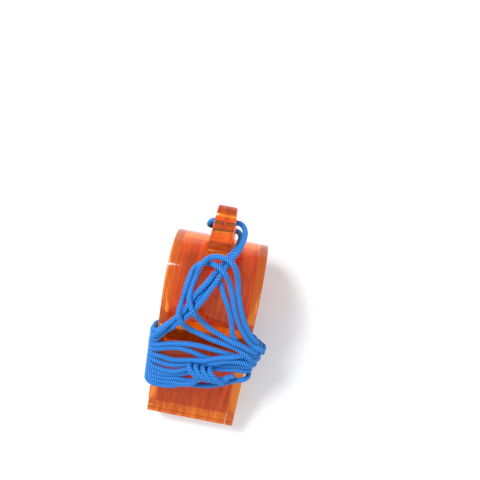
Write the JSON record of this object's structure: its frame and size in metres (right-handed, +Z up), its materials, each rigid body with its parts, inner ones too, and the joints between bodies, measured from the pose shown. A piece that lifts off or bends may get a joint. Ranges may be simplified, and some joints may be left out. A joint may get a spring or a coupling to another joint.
{
  "type": "training whistle",
  "caption": "Pea whistle in translucent orange plastic, with a cord eye at the back and a braided blue lanyard wound round its mouthpiece.",
  "frame": {"origin": "centre of the whistle's footprint, on the surface it lies on", "axes": "+Z up as the whistle lies on a table, +Y towards the cord eye, -Y towards the mouthpiece, X across the barrel along its axis"},
  "size_m": [0.0276, 0.0538, 0.0261],
  "materials": {
    "orange_plastic": "polished translucent orange moulding",
    "pea_ball": "matt moulded ball",
    "blue_cord": "fine round braid, slight sheen"
  },
  "bodies": {
    "whistle": {"whistle_body": "orange_plastic", "side_cover": "orange_plastic", "lanyard_run_a": "blue_cord", "lanyard_run_b": "blue_cord", "lanyard_under_run": "blue_cord", "lanyard_loop_outer": "blue_cord", "lanyard_loop_inner": "blue_cord", "lanyard_winding": "blue_cord", "lanyard_knot": "blue_cord"},
    "pea": {"pea": "pea_ball"}
  },
  "joints": [
    {"name": "pea_orbit", "type": "hinge", "parent": "whistle", "child": "pea", "pos_m": [0.0024, 0.00881, 0.011], "axis": [1, 0, 0], "continuous": true}
  ]
}
